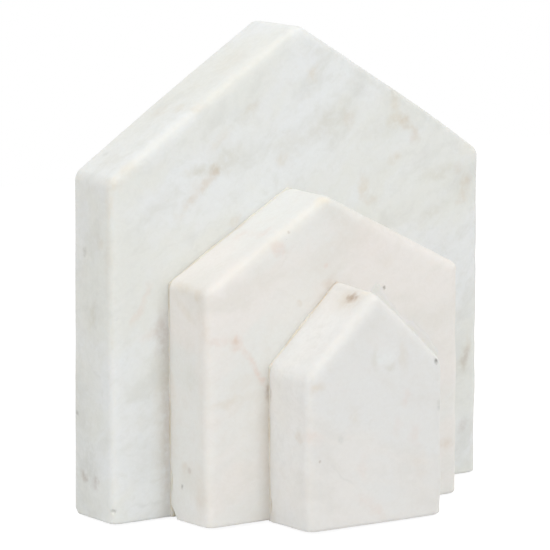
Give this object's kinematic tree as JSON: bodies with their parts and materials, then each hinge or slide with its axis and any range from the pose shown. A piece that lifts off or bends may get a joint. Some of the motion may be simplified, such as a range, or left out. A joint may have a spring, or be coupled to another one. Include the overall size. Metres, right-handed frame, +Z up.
{
  "type": "book end",
  "caption": "Free-standing stone book end: house-shaped marble slabs in falling sizes, bonded face to face in a stepped stack, with a plain flat back for the books.",
  "frame": {"origin": "under the middle of the stack, at the level of the shelf: the bottom centre of the bounding box", "axes": "+Z up; +Y out of the plain back, towards the books; -Y out of the stepped front; X along the width"},
  "size_m": [0.128, 0.0604, 0.1376],
  "materials": {
    "marble_grey": "honed, satin matte, cool white with faint grey streaks",
    "marble_cream": "honed, satin matte, warm creamy pink white",
    "marble_white": "honed, satin matte, neutral warm white",
    "stone_adhesive": "cured clear-amber resin, dull",
    "felt": "pressed wool felt, matte"
  },
  "bodies": {
    "root": {"slab_large": "marble_grey", "slab_medium": "marble_cream", "slab_small": "marble_white", "adhesive_bed_rear": "stone_adhesive", "adhesive_bed_front": "stone_adhesive", "felt_pad_large_left": "felt", "felt_pad_large_right": "felt", "felt_pad_medium_left": "felt", "felt_pad_medium_right": "felt", "felt_pad_small": "felt"}
  },
  "joints": []
}
